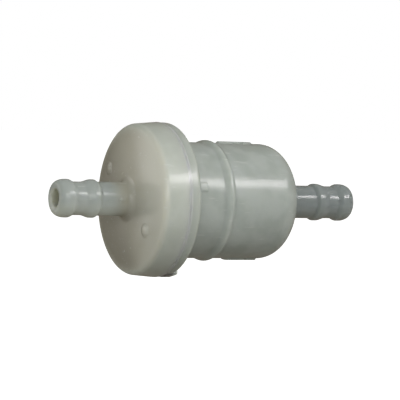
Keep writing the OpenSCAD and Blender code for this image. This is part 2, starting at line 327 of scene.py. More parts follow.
@dataclass(frozen=True)
class Mark:
    """A raised plain shape with soft sides, centred at an angle round the body."""

    turn: float
    start: float
    length: float
    width: float
    height: float = 0.4
    side: float = 0.3
    corner: float = 0.25

    def distance(self, x: Array, s: Array) -> Array:
        """Distance outside the mark's rounded rectangle, negative inside."""
        out_x = np.abs(x - self.start - self.length / 2) - self.length / 2 + self.corner
        out_s = np.abs(s) - self.width / 2 + self.corner
        outside = np.hypot(np.maximum(out_x, 0), np.maximum(out_s, 0))
        return outside + np.minimum(np.maximum(out_x, out_s), 0) - self.corner

    def rise(self, x: Array, turn: Array, r: float) -> Array:
        """Height over a skin of radius r: full inside the mark, with an S-shaped ramp across its edge."""
        d = self.distance(x, np.radians(angle_off(turn, self.turn)) * r)
        return self.height * smooth_step(0.5 - d / self.side)


@dataclass(frozen=True)
class ArrowMark(Mark):
    """A raised arrow that points along +X: a bar, and a head whose width is the mark's width."""

    stem: float = 1.5
    head: float = 3.0

    def distance(self, x: Array, s: Array) -> Array:
        """Distance outside the arrow: the lesser of the bar's and the head's, which is three half planes."""
        tip = self.start + self.length
        neck = tip - self.head
        bar = np.maximum(np.maximum(self.start - x, x - neck - self.side), np.abs(s) - self.stem / 2)
        slope = math.hypot(self.head, self.width / 2)
        flank = ((x - tip) * self.width / 2 + np.abs(s) * self.head) / slope
        return np.minimum(bar, np.maximum(neck - x, flank))


def spread_angles(
    sectors: list[Pair], fine: float, coarse: float, fade: float = 4.0, samples: int = 7201
) -> Array:
    """Angles round the whole turn, close together across each sector and wide apart between them.

    The spacing is integrated: a step's length is the fine one inside a sector and the coarse one outside, and
    the angles are read off at even shares of the number of steps.

    Args:
        sectors: Middle and half width of each sector.
        fine: Spacing inside a sector.
        coarse: Spacing outside.
        fade: Width over which one spacing gives way to the other.
        samples: Number of angles that the spacing is integrated over.

    Returns:
        Angles from 0, without 360.
    """
    turn = np.linspace(0.0, 360.0, samples)
    near = np.zeros_like(turn)
    for middle, half in sectors:
        near = np.maximum(near, smooth_step(1.0 + (half - np.abs(angle_off(turn, middle))) / fade))
    density = near / fine + (1.0 - near) / coarse
    steps = np.concatenate([[0.0], np.cumsum((density[1:] + density[:-1]) / 2 * np.diff(turn))])
    count = int(round(steps[-1] / 2)) * 2
    return np.interp(np.arange(count) * steps[-1] / count, steps, turn)


# --------------------------------------
# Finishes
# --------------------------------------

CLOUD_EDGES = (0.35, 0.65)
SCATTER_SHARES = (1.0, 1.0, 0.9)


@dataclass(frozen=True)
class Nodes:
    """The nodes of a material or of the world, with a method for each kind of value made from others."""

    tree: bpy.types.NodeTree

    def add(self, kind: str, inputs: dict[str | int, Value], **settings: str) -> Node:
        """Adds a node and fills its inputs.

        Args:
            kind: Type of node, without the common start of all their names.
            inputs: What goes into each input, by its name or number.
            **settings: The node's own choices, such as its operation.

        Returns:
            The new node.
        """
        node = self.tree.nodes.new("ShaderNode" + kind)
        for name, choice in settings.items():
            setattr(node, name, choice)
        self.fill(node, inputs)
        return node

    def fill(self, node: Node, inputs: dict[str | int, Value]) -> None:
        """Fills a node's inputs: a socket is linked to, and a plain value is set on the input itself.

        Args:
            node: The node.
            inputs: What goes into each input, by its name or number.
        """
        for key, value in inputs.items():
            target = node.inputs[key]
            if isinstance(value, Socket):
                self.tree.links.new(value, target)
            else:
                target.default_value = (*value, 1.0) if target.type == "RGBA" else value

    def place(self, kind: str = "Object") -> Socket:
        """The place that is being shaded, in metres on the object unless another kind is named."""
        return self.add("TexCoord", {}).outputs[kind]

    def stretched(self, place: Socket, scale: Triple, turn: Triple = (0.0, 0.0, 0.0)) -> Socket:
        """Places scaled along each axis, then turned by angles in radians."""
        return self.add("Mapping", {"Vector": place, "Scale": scale, "Rotation": turn}).outputs["Vector"]

    def noise(self, place: Socket, size: float, detail: float) -> Socket:
        """Cloudy noise about 0.5, with lumps about size millimetres across and octaves of finer detail."""
        inputs = {"Vector": place, "Scale": 1.0 / (size * MM), "Detail": detail}
        return self.add("TexNoise", inputs).outputs["Fac"]

    def ramp(self, value: Socket, low: float, high: float) -> Socket:
        """Stretches the values from low to high over 0 to 1, smoothly, and holds the rest at the ends."""
        inputs = {"Value": value, "From Min": low, "From Max": high}
        return self.add("MapRange", inputs, interpolation_type="SMOOTHSTEP").outputs["Result"]

    def spread(self, value: Socket, low: float, high: float) -> Socket:
        """Maps the middle of a noise, 0.3 to 0.7, onto the values from low to high."""
        ends = {"From Min": 0.3, "From Max": 0.7, "To Min": low, "To Max": high}
        return self.add("MapRange", {"Value": value, **ends}).outputs["Result"]

    def blend(self, share: Socket, first: Socket | Triple, second: Socket | Triple) -> Socket:
        """Mixes two colours, each a socket or a plain colour; share says how much of the second one shows."""
        return self.add("Mix", {0: share, 6: first, 7: second}, data_type="RGBA").outputs[2]

    def combine(self, operation: str, value: Socket, other: Socket | float) -> Socket:
        """A value with another, or with a plain number: the sum for "ADD", the product for "MULTIPLY"."""
        return self.add("Math", {0: value, 1: other}, operation=operation).outputs["Value"]

    def measured(self, operation: str, *vectors: Value) -> Socket:
        """A number taken from vectors: the "LENGTH" of one, or the "DOT_PRODUCT" of two."""
        return self.add("VectorMath", dict(enumerate(vectors)), operation=operation).outputs["Value"]

    def bumps(self, height: Socket, strength: float, depth: float, under: Socket | None = None) -> Socket:
        """Tilts the surface by a height field.

        Args:
            height: Socket with the height, from 0 to 1.
            strength: Share of the effect.
            depth: Height of the bumps in millimetres.
            under: Normal that these bumps lie on, if any.

        Returns:
            The socket with the tilted normal.
        """
        inputs = {"Strength": strength, "Distance": depth * MM, "Height": height}
        if under is not None:
            inputs["Normal"] = under
        return self.add("Bump", inputs).outputs["Normal"]


def new_material(name: str) -> tuple[Material, Nodes, Node]:
    """Makes a material.

    Args:
        name: Its name.

    Returns:
        The material, its nodes, and its shader.
    """
    material = bpy.data.materials.new(name)
    material.use_nodes = True
    return material, Nodes(material.node_tree), material.node_tree.nodes["Principled BSDF"]


class Grain(Enum):
    """How a finish's clouds and bumps lie: alike all ways, or drawn out along X."""

    EVEN = (1.0, 1.0, 1.0)
    ALONG = (0.12, 1.0, 1.0)


@dataclass(frozen=True)
class Finish:
    """A moulded, pressed or cured surface: a colour with clouds, and fine bumps under a gloss."""

    name: str
    colour: Triple
    cloud: Triple
    cloud_size: float = 4.0
    rough: float = 0.4
    rough_spread: float = 0.08
    bump: float = 0.1
    bump_size: float = 0.6
    metallic: float = 0.0
    ior: float = 1.5
    scatter: float = 0.0
    scatter_mm: float = 2.0
    sheen: float = 0.0
    grain: Grain = Grain.EVEN

    def build(self) -> Material:
        """Makes the material: clouds of colour, uneven roughness and bumps, all from noise on object places.

        Returns:
            The new material.
        """
        material, nodes, shader = new_material(self.name)
        place = nodes.place()
        if self.grain is not Grain.EVEN:
            place = nodes.stretched(place, self.grain.value)
        cloud = nodes.ramp(nodes.noise(place, self.cloud_size, 3.0), *CLOUD_EDGES)
        fine = nodes.noise(place, self.bump_size, 4.0)
        depth = self.bump_size * 0.1
        inputs = {
            "Base Color": nodes.blend(cloud, self.colour, self.cloud),
            "Roughness": nodes.spread(fine, self.rough - self.rough_spread, self.rough + self.rough_spread),
            "Normal": nodes.bumps(fine, self.bump, depth),
            "Metallic": self.metallic,
            "IOR": self.ior,
            "Sheen Weight": self.sheen,
            "Subsurface Weight": self.scatter,
            "Subsurface Radius": SCATTER_SHARES,
            "Subsurface Scale": self.scatter_mm * MM,
        }
        nodes.fill(shader, inputs)
        return material


@dataclass(frozen=True)
class Tint:
    """A colour that takes over along X, from nothing at the start to all of it at the end.

    It can bring a change of roughness. With within_r it holds only near the axis, and with side only past a
    place along a direction square to X, which side_turn gives as its angle from +Y towards +Z.
    """

    colour: Triple
    start: float
    end: float
    rough: float = 0.0
    within_r: float = 0.0
    fade_r: float = 0.4
    side: Pair | None = None
    side_turn: float = 0.0

    def share(self, nodes: Nodes, axes: Node, away: Socket) -> Socket:
        """How much of the tint shows: the product of its ramps along X, towards the axis and to its side.

        Args:
            nodes: The material's nodes.
            axes: Node that gives the place's X, Y and Z.
            away: Socket with the distance from the X axis.

        Returns:
            The socket with the share, from 0 to 1.
        """
        share = nodes.ramp(axes.outputs["X"], self.start * MM, self.end * MM)
        if self.within_r > 0:
            near = nodes.ramp(away, (self.within_r + self.fade_r) * MM, self.within_r * MM)
            share = nodes.combine("MULTIPLY", share, near)
        if self.side is not None:
            a = math.radians(self.side_turn)
            across = nodes.combine("MULTIPLY", axes.outputs["Y"], math.cos(a))
            upwards = nodes.combine("MULTIPLY", axes.outputs["Z"], math.sin(a))
            beside = nodes.combine("ADD", across, upwards)
            share = nodes.combine("MULTIPLY", share, nodes.ramp(beside, *(v * MM for v in self.side)))
        return share


@dataclass(frozen=True)
class MilkyNylon:
    """Translucent natural nylon: light scatters in it, and its skin has dents, orange peel and scuffs."""

    name: str
    colour: Triple
    cloud: Triple
    tints: tuple[Tint, ...] = ()
    cloud_mm: float = 5.0
    rough: float = 0.22
    haze: Pair = (-0.04, 0.05)
    haze_mm: float = 3.0
    dent: float = 0.3
    dent_mm: float = 7.0
    dent_depth: float = 0.08
    peel: float = 0.2
    peel_mm: float = 0.8
    peel_depth: float = 0.025
    scuff: float = 0.3
    scuff_mm: float = 1.3
    scuff_depth: float = 0.01
    scuff_scale: Triple = (0.25, 1.0, 2.2)
    scuff_turn: Triple = (0.6, 0.3, 0.9)
    scuff_edges: Pair = (0.64, 0.74)
    scuff_share: float = 0.35
    scuff_colour: Triple = (0.70, 0.71, 0.67)
    ior: float = 1.53
    scatter_mm: float = 3.0

    def build(self) -> Material:
        """Makes the material: clouds, then tints, some of which are painted light and shade, then slanting
        scuffs, over dents and orange peel.

        Returns:
            The new material.
        """
        material, nodes, shader = new_material(self.name)
        place = nodes.place()
        axes = nodes.add("SeparateXYZ", {"Vector": place})
        away = nodes.measured("LENGTH", nodes.stretched(place, (0.0, 1.0, 1.0)))

        haze = (self.rough + step for step in self.haze)
        rough = nodes.spread(nodes.noise(place, self.haze_mm, 2.0), *haze)
        cloud = nodes.ramp(nodes.noise(place, self.cloud_mm, 2.0), *CLOUD_EDGES)
        colour = nodes.blend(cloud, self.colour, self.cloud)
        for tint in self.tints:
            share = tint.share(nodes, axes, away)
            colour = nodes.blend(share, colour, tint.colour)
            rough = nodes.combine("ADD", rough, nodes.combine("MULTIPLY", share, tint.rough))
        slanted = nodes.stretched(place, self.scuff_scale, self.scuff_turn)
        scuffs = nodes.ramp(nodes.noise(slanted, self.scuff_mm, 3.0), *self.scuff_edges)
        scuffed = nodes.combine("MULTIPLY", scuffs, self.scuff_share)
        dents = nodes.bumps(nodes.noise(place, self.dent_mm, 1.0), self.dent, self.dent_depth)
        skin = nodes.bumps(nodes.noise(place, self.peel_mm, 2.0), self.peel, self.peel_depth, dents)
        inputs = {
            "Base Color": nodes.blend(scuffed, colour, self.scuff_colour),
            "Roughness": rough,
            "Normal": nodes.bumps(scuffs, self.scuff, self.scuff_depth, skin),
            "IOR": self.ior,
            "Subsurface Weight": 1.0,
            "Subsurface Radius": SCATTER_SHARES,
            "Subsurface Scale": self.scatter_mm * MM,
        }
        nodes.fill(shader, inputs)
        return material


# --------------------------------------
# Housing
# --------------------------------------

OUTLINE_GAP = 0.05  # An outline stops this far short of its first point, to which the surface joins it.
SEAM_WIDTH = 0.4
SEAM_DEPTH = 1.0
# Painted light: pale colour laid on either side of the weld to fill in the seam's shade.
SEAM_PAINTED_LIGHT = (0.78, 0.80, 0.74)


@dataclass(frozen=True)
class Stations:
    """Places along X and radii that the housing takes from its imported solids."""

    inlet_tip: float
    weld: float
    rim_r: float
    lip_front: float
    outlet_tip: float
    flange_r: float

    @classmethod
    def measured(cls) -> "Stations":
        """Reads them from the boxes of the cap and the canister.

        Returns:
            The stations, in millimetres.
        """
        cap_low, cap_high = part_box("inlet_cap")
        can_low, can_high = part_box("canister")
        return cls(
            inlet_tip=cap_low.x / MM,
            weld=cap_high.x / MM,
            rim_r=cap_high.z / MM,
            lip_front=can_low.x / MM,
            outlet_tip=can_high.x / MM,
            flange_r=can_high.z / MM,
        )


def at_seam(x: Array, r: Array, weld: float, edge_r: float) -> Array:
    """Nearness to the weld's edge: a bell curve along X, which counts only near the edge's radius."""
    return np.exp(-(((x - weld) / SEAM_WIDTH) ** 2)) * (r > edge_r - SEAM_DEPTH)


def waviness(turn: Array) -> Array:
    """Uneven ripple round the turn: five waves of unlike lengths, added, between about -1 and 1."""
    a = np.radians(turn)
    waves = ((3, 0.4, 0.35), (7, 1.9, 0.25), (13, 4.4, 0.18), (29, 2.3, 0.12), (53, 5.1, 0.10))
    return sum(weight * np.sin(count * a + phase) for count, phase, weight in waves)


@dataclass(frozen=True)
class Nipple:
    """Hose nipple with two beads, as lengths from its tip."""

    bore_r: float = 2.0
    mouth_round: float = 0.5
    tip_r: float = 3.0
    tip_len: float = 2.3
    bead_r: float = 4.3
    land_len: float = 0.6
    first_fall: float = 1.6
    groove_r: float = 3.75
    groove_len: float = 1.7
    second_rise: float = 2.5
    second_fall: float = 1.1
    shank_r: float = 3.8

    def outline(self, tip_x: float, way: int) -> Array:
        """Outside of the nipple, from the bore's mouth to the start of the shank.

        Args:
            tip_x: Place of the tip.
            way: 1 where the root lies towards +X, and -1 where it lies towards -X.

        Returns:
            Rows of [x, r].
        """
        fall_1 = self.tip_len + self.land_len
        groove = fall_1 + self.first_fall
        rise_2 = groove + self.groove_len
        land_2 = rise_2 + self.second_rise
        fall_2 = land_2 + self.land_len
        shank = fall_2 + self.second_fall
        nose = quarter_ellipse(self.tip_len, self.bead_r, 0.0, self.tip_r, 14)[::-1]
        rows = joined(
            arc(self.mouth_round, self.bore_r + self.mouth_round, self.mouth_round, 270, 180, 8),
            nose,
            line(self.tip_len, self.bead_r, fall_1, self.bead_r, 3),
            s_curve(fall_1, self.bead_r, groove, self.groove_r, 12),
            line(groove, self.groove_r, rise_2, self.groove_r, 4),
            s_curve(rise_2, self.groove_r, land_2, self.bead_r, 14),
            line(land_2, self.bead_r, fall_2, self.bead_r, 3),
            s_curve(fall_2, self.bead_r, shank, self.shank_r, 10),
        )
        return np.column_stack([tip_x + way * rows[:, 0], rows[:, 1]])


@dataclass
class InletCap:
    """The flanged cap: hose nipple with a nub, crowned face with two pips, rim, socket and ribs."""

    at: Stations
    nipple: Nipple = Nipple()
    nipple_len: float = 18.7
    root_fillet: float = 1.5
    face_rise: float = 0.9
    face_slope: float = 15.0
    wall: float = 2.0
    rim_draft: float = 0.45
    rim_fillet: float = 1.5
    rim_wall: float = 2.25
    bevel: float = 0.06
    pip_r: float = 1.7
    pip_h: float = 0.35
    pip_at: float = 11.4
    pip_turns: Pair = (35.0, 215.0)
    pip_sector: float = 9.5
    fine_turn: float = 0.7
    coarse_turn: float = 1.6
    flash: float = 0.02
    nub_x: float = 14.7
    nub_turn: float = 180.0
    nub_r: float = 0.45
    nub_h: float = 0.18
    rib_count: int = 4
    rib_t: float = 1.2
    rib_from: float = 3.4
    rib_sunk: float = 0.3
    rib_round: float = 0.15

    def outline(self) -> tuple[Array, Array]:
        """Closed outline of the cap, and which of its points lie on the face.

        Returns:
            Rows of [x, r], and an array of truth values.
        """
        at, bevel, fillet, rounding = self.at, self.bevel, self.root_fillet, self.rim_fillet
        bore_r, shank_r = self.nipple.bore_r, self.nipple.shank_r
        face_x = at.inlet_tip + self.nipple_len
        inner_x = face_x + self.wall
        root_x, root_r = face_x - self.face_rise, shank_r + fillet
        side_r = at.rim_r - self.rim_draft
        edge_r = side_r - rounding
        socket_r = at.rim_r - self.rim_wall
        nipple = self.nipple.outline(at.inlet_tip, 1)
        before = joined(
            line(inner_x, bore_r, at.inlet_tip + self.nipple.mouth_round, bore_r, 8),
            nipple,
            line(nipple[-1, 0], shank_r, root_x - fillet, shank_r, 50),
            arc(root_x - fillet, root_r, fillet, 270, 360, 10),
        )
        slope = math.radians(self.face_slope)
        end_x = face_x + rounding * (1 - math.cos(slope))
        end_r = edge_r + rounding * math.sin(slope)
        face = crown(root_x, root_r, end_x, end_r, math.tan(slope), 60)[1:-1]
        after = joined(
            arc(face_x + rounding, edge_r, rounding, 180 - self.face_slope, 90, 12),
            line(face_x + rounding, side_r, at.weld - bevel, at.rim_r, 8),
            arc(at.weld - bevel, at.rim_r - bevel, bevel, 90, 0, 4),
            line(at.weld, at.rim_r - bevel, at.weld, socket_r, 3),
            line(at.weld, socket_r, inner_x, socket_r, 4),
            line(inner_x, socket_r, inner_x, bore_r + OUTLINE_GAP, 8),
        )
        return with_middle(before, face, after)

    def surface(self) -> Surface:
        """Turns the outline, raises the pips and the nub, and adds the ribs.

        The pips rise from the face, and the small nub from the shank. At the weld the skin sinks by a sum of
        waves round the turn, as weld flash is uneven.

        Returns:
            The cap's surface.
        """
        rows, on_face = self.outline()
        sectors = [(middle, self.pip_sector) for middle in self.pip_turns]
        turn = spread_angles(sectors, self.fine_turn, self.coarse_turn)
        x, r = spun(rows, turn)
        for middle in self.pip_turns:
            off = np.radians(angle_off(turn, middle))[None, :]
            away = (r * np.cos(off) - self.pip_at) ** 2 + (r * np.sin(off)) ** 2
            x = x - np.where(on_face[:, None], self.pip_h * low_dome(away, self.pip_r), 0.0)
        across = np.radians(angle_off(turn, self.nub_turn))[None, :] * self.nipple.shank_r
        nub = low_dome((x - self.at.inlet_tip - self.nub_x) ** 2 + across**2, self.nub_r)
        r = r + self.nub_h * nub * np.isclose(rows[:, 1:], self.nipple.shank_r)
        sunk = at_seam(x, r, self.at.weld, self.at.rim_r) * self.flash
        return revolved(x, r - sunk * (1.0 + waviness(turn))[None, :], turn) + self.ribs()

    def ribs(self) -> Surface:
        """The ribs inside the cap that hold the element, from the face's wall to the closed tray.

        Returns:
            All ribs as one surface.
        """
        inner_x = self.at.inlet_tip + self.nipple_len + self.wall
        element_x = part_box("closed_end_disc")[0].x / MM
        tray_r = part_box("inlet_potting")[1].z / MM
        length = element_x - inner_x + self.rib_sunk
        half = np.array([length / 2, self.rib_t / 2, (tray_r - self.rib_from) / 2])
        centre = np.array([(element_x + inner_x - self.rib_sunk) / 2, 0.0, (tray_r + self.rib_from) / 2])
        rib = rounded_block(centre, half, self.rib_round, 3)
        all_ribs = rib
        for k in range(1, self.rib_count):
            all_ribs = all_ribs + turned_copy(rib, k * 360.0 / self.rib_count)
        return all_ribs

    def nylon(self) -> MilkyNylon:
        """Its nylon, whose colour follows how much light the walls let through from place to place. Much of
        this is painted light and shade: a warmer face, a darker far side and a lighter near side of the face,
        a lighter underside of the nipple, a lighter bore and a pale band at the weld.

        Returns:
            The finish.
        """
        # Painted light: the face's warmer tone, strongest towards its middle and fading at the rim, stands
        # for light scattered through the wall.
        face = Tint((0.50, 0.48, 0.405), -18.9, -19.7)
        # Painted shade: the face is darker towards its far side, +Y, and a little downwards, where shade
        # falls on it.
        painted_far_shade = Tint((0.34, 0.325, 0.275), -18.9, -19.7, side=(-6.0, 9.0), side_turn=-27.0)
        # Painted light: the face and the front of the rim are lighter towards the near side, -Y, standing for
        # light that comes through the rim there.
        painted_near_light = Tint((0.60, 0.59, 0.52), -17.6, -19.0, side=(1.0, 12.0), side_turn=180.0)
        nipple = Tint((0.41, 0.435, 0.415), -21.5, -26.0)
        # Painted light: the nipple's lower side is lighter, standing for light that comes through its thin
        # wall.
        painted_underside_light = Tint((0.64, 0.66, 0.60), -21.5, -26.0, side=(-0.5, 4.5), side_turn=-90.0)
        # Painted light: the bore is lighter over its outer part, towards the tip, as if lit through the
        # nipple's wall.
        bore = Tint((0.60, 0.60, 0.53), -25.0, -26.0, within_r=2.1)
        # Painted light: a pale band at the cap's side of the weld fills in the dark line that shade leaves in
        # the seam.
        seam = Tint(SEAM_PAINTED_LIGHT, self.at.weld - 0.6, self.at.weld - 0.1)
        tints = (face, painted_far_shade, painted_near_light, nipple, painted_underside_light, bore, seam)
        return MilkyNylon("cap_nylon", (0.53, 0.55, 0.495), (0.57, 0.59, 0.535), tints)

    def build(self) -> bpy.types.Object:
        """Makes the cap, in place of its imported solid."""
        piece = self.surface().piece("inlet_cap_moulding", self.nylon().build(), "cap_nylon")
        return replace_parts(piece, "inlet_cap")


@dataclass
class Canister:
    """The domed cup: lip, weld flange with its tab, body with bead ring and marks, dome, and hose nipple."""

    at: Stations
    nipple: Nipple = Nipple()
    lip_r: float = 15.2
    lip_wall: float = 1.5
    flange_t: float = 2.9
    flange_inset: float = 0.1
    flange_round: float = 1.3
    flange_fillet: float = 0.8
    bevel: float = 0.06
    body_r: float = 13.2
    wall: float = 1.5
    body_len: float = 23.5
    ring_at: float = 9.7
    ring_h: float = 0.6
    ring_front: float = 1.8
    ring_back: float = 1.3
    dome_len: float = 7.1
    dome_flat: float = 1.0
    root_fillet: float = 1.0
    spigot_r: float = 3.0
    spigot_past_seal: float = 0.4
    boss_r: float = 5.0
    seal_flange: float = 0.8
    flash: float = 0.03
    flash_turn: float = 40.0
    tab_w: float = 4.0
    tab_len: float = 3.6
    tab_start: float = 0.45
    tab_h: float = 3.0
    tab_turn: float = -103.0
    tab_round: float = 0.6
    tab_proud: float = 0.05
    top_turn: float = 90.0
    under_turn: float = 270.0
    pad_turn: float = 165.0
    pad_gap: float = 0.8
    pad_side: float = 2.0
    pad_h: float = 0.25
    pad_stretch: float = 3.1
    mark_stretch: float = 11.0
    arrow_gap: float = 1.9
    arrow_len: float = 8.8
    arrow_w: float = 4.0
    bar_w: float = 3.4
    bar_spans: tuple[Pair, ...] = ((7.9, 4.4), (3.0, 2.5))
    fine_turn: float = 0.62
    coarse_turn: float = 2.0

    @property
    def flange_rear(self) -> float:
        """Place of the flange's rear face."""
        return self.at.weld + self.flange_t

    @property
    def edge_r(self) -> float:
        """Radius of the flange's edge, a step inside the cap's rim."""
        return self.at.rim_r - self.flange_inset

    @property
    def dome_x(self) -> float:
        """Place where the body ends and the dome starts."""
        return self.flange_rear + self.body_len

    def marks(self) -> list[Mark]:
        """The raised marks: the gate pad, the flow arrow on top and two plain bars below.

        The arrow and the bars are placed from the start of the dome.

        Returns:
            The marks, with angles from +Y towards +Z.
        """
        pad_x = self.flange_rear + self.flange_fillet + self.pad_gap
        arrow_x = self.dome_x - self.arrow_gap - self.arrow_len
        return [
            Mark(self.pad_turn, pad_x, self.pad_side, self.pad_side, height=self.pad_h),
            ArrowMark(self.top_turn, arrow_x, self.arrow_len, self.arrow_w),
            *(Mark(self.under_turn, self.dome_x - gap, span, self.bar_w) for gap, span in self.bar_spans),
        ]

    def outline(self) -> tuple[Array, Array]:
        """Closed outline of the canister, and which of its points lie on the body's outside.

        The body has close steps where the marks are, and wide ones between them.

        Returns:
            Rows of [x, r], and an array of truth values.
        """
        at, bevel, rounding, rear = self.at, self.bevel, self.flange_round, self.flange_rear
        edge_r, body_r, lip_r, spigot_r = self.edge_r, self.body_r, self.lip_r, self.spigot_r
        bore_r, shank_r = self.nipple.bore_r, self.nipple.shank_r
        inner_r, lip_in = body_r - self.wall, lip_r - self.lip_wall
        foot_x, foot_r = rear + self.flange_fillet, body_r + self.flange_fillet
        pad_end = foot_x + self.pad_stretch
        ring_x, ring_r = rear + self.ring_at, body_r + self.ring_h
        marks_x = self.dome_x - self.mark_stretch
        dome_end = self.dome_x + self.dome_len
        dome_foot = dome_end - self.root_fillet
        fillet_r = shank_r + self.root_fillet
        spigot_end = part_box("spigot_seal")[0].x / MM - self.spigot_past_seal
        shoulder = self.dome_x + self.seal_flange
        nipple = self.nipple.outline(at.outlet_tip, -1)[::-1]
        before = joined(
            line(at.weld, inner_r, at.weld, lip_in, 2),
            line(at.weld, lip_in, at.lip_front, lip_in, 2),
            line(at.lip_front, lip_in, at.lip_front, lip_r, 2),
            line(at.lip_front, lip_r, at.weld, lip_r, 2),
            line(at.weld, lip_r, at.weld, at.flange_r - bevel, 3),
            arc(at.weld + bevel, edge_r - bevel, bevel, 180, 90, 4),
            line(at.weld + bevel, edge_r, rear - rounding, edge_r, 4),
            arc(rear - rounding, edge_r - rounding, rounding, 90, 0, 8),
            line(rear, edge_r - rounding, rear, foot_r, 3),
            arc(foot_x, foot_r, self.flange_fillet, 180, 270, 8),
        )
        body = joined(
            line(foot_x, body_r, pad_end, body_r, 22),
            line(pad_end, body_r, ring_x - self.ring_front, body_r, 6),
            s_curve(ring_x - self.ring_front, body_r, ring_x, ring_r, 12),
            s_curve(ring_x, ring_r, ring_x + self.ring_back, body_r, 10),
            line(ring_x + self.ring_back, body_r, marks_x, body_r, 3),
            line(marks_x, body_r, self.dome_x, body_r, 74),
        )[1:-1]
        after = joined(
            quarter_ellipse(self.dome_x, body_r, dome_foot, fillet_r + self.dome_flat, 36),
            arc(dome_end, fillet_r, self.root_fillet, 180, 270, 8),
            line(dome_end, shank_r, nipple[0, 0], shank_r, 6),
            nipple,
            line(at.outlet_tip - self.nipple.mouth_round, bore_r, spigot_end, bore_r, 8),
            line(spigot_end, bore_r, spigot_end, spigot_r, 2),
            line(spigot_end, spigot_r, shoulder, spigot_r, 3),
            line(shoulder, spigot_r, shoulder, self.boss_r, 2),
            quarter_ellipse(self.dome_x, inner_r, dome_foot - self.wall, self.boss_r, 16)[::-1],
            line(self.dome_x, inner_r, at.weld + OUTLINE_GAP, inner_r, 6),
        )
        return with_middle(before, body, after)

    def surface(self) -> Surface:
        """Turns the outline, raises the marks on the body and the flash at the weld, and adds the tab.

        Returns:
            The canister's surface.
        """
        rows, on_body = self.outline()
        sectors = [(self.top_turn, 10.0), (self.pad_turn, 5.5), (self.under_turn, 8.5)]
        turn = spread_angles(sectors, self.fine_turn, self.coarse_turn)
        x, r = spun(rows, turn)
        rise = np.zeros_like(r)
        for mark in self.marks():
            rise = np.maximum(rise, mark.rise(x, turn[None, :], self.body_r))
        r = r + np.where(on_body[:, None], rise, 0.0)
        raised = at_seam(x, r, self.at.weld, self.edge_r) * self.flash
        return revolved(x, r + raised * (1.0 - waviness(turn + self.flash_turn))[None, :], turn) + self.tab()

    def tab(self) -> Surface:
        """The index tab: a rounded block, level with the cap's rim, turned to its place under the flange.

        Returns:
            The tab's surface.
        """
        top = self.edge_r + self.tab_proud
        half = np.array([(self.tab_len - self.tab_start) / 2, self.tab_h / 2, self.tab_w / 2])
        centre = np.array([self.at.weld + (self.tab_len + self.tab_start) / 2, top - self.tab_h / 2, 0.0])
        return turned_copy(rounded_block(centre, half, self.tab_round, 6), self.tab_turn)

    def nylon(self) -> MilkyNylon:
        """Its nylon, with a lighter flange and a darker nipple, painted light on the nipple's lower side and
        at the weld, and more orange peel than the cap's.

        Returns:
            The finish.
        """
        flange = Tint((0.48, 0.505, 0.46), -9.0, -10.5)
        nipple = Tint((0.295, 0.32, 0.315), 19.5, 22.0, rough=-0.07)
        # Painted light: the outlet nipple's lower side is lighter, standing for light that comes through its
        # thin wall.
        painted_underside_light = Tint((0.42, 0.44, 0.42), 19.5, 22.0, side=(0.0, 4.5), side_turn=-90.0)
        # Painted light: a pale band on the flange's front at the weld fills in the dark line that shade
        # leaves in the seam.
        seam = Tint(SEAM_PAINTED_LIGHT, self.at.weld + 0.5, self.at.weld + 0.1)
        tints = (flange, nipple, painted_underside_light, seam)
        return MilkyNylon("canister_nylon", (0.44, 0.47, 0.435), (0.50, 0.53, 0.495), tints, peel=0.8)

    def build(self) -> bpy.types.Object:
        """Makes the canister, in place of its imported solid."""
        piece = self.surface().piece("canister_moulding", self.nylon().build(), "canister_nylon")
        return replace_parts(piece, "canister")


# --------------------------------------
# Filter element
# --------------------------------------


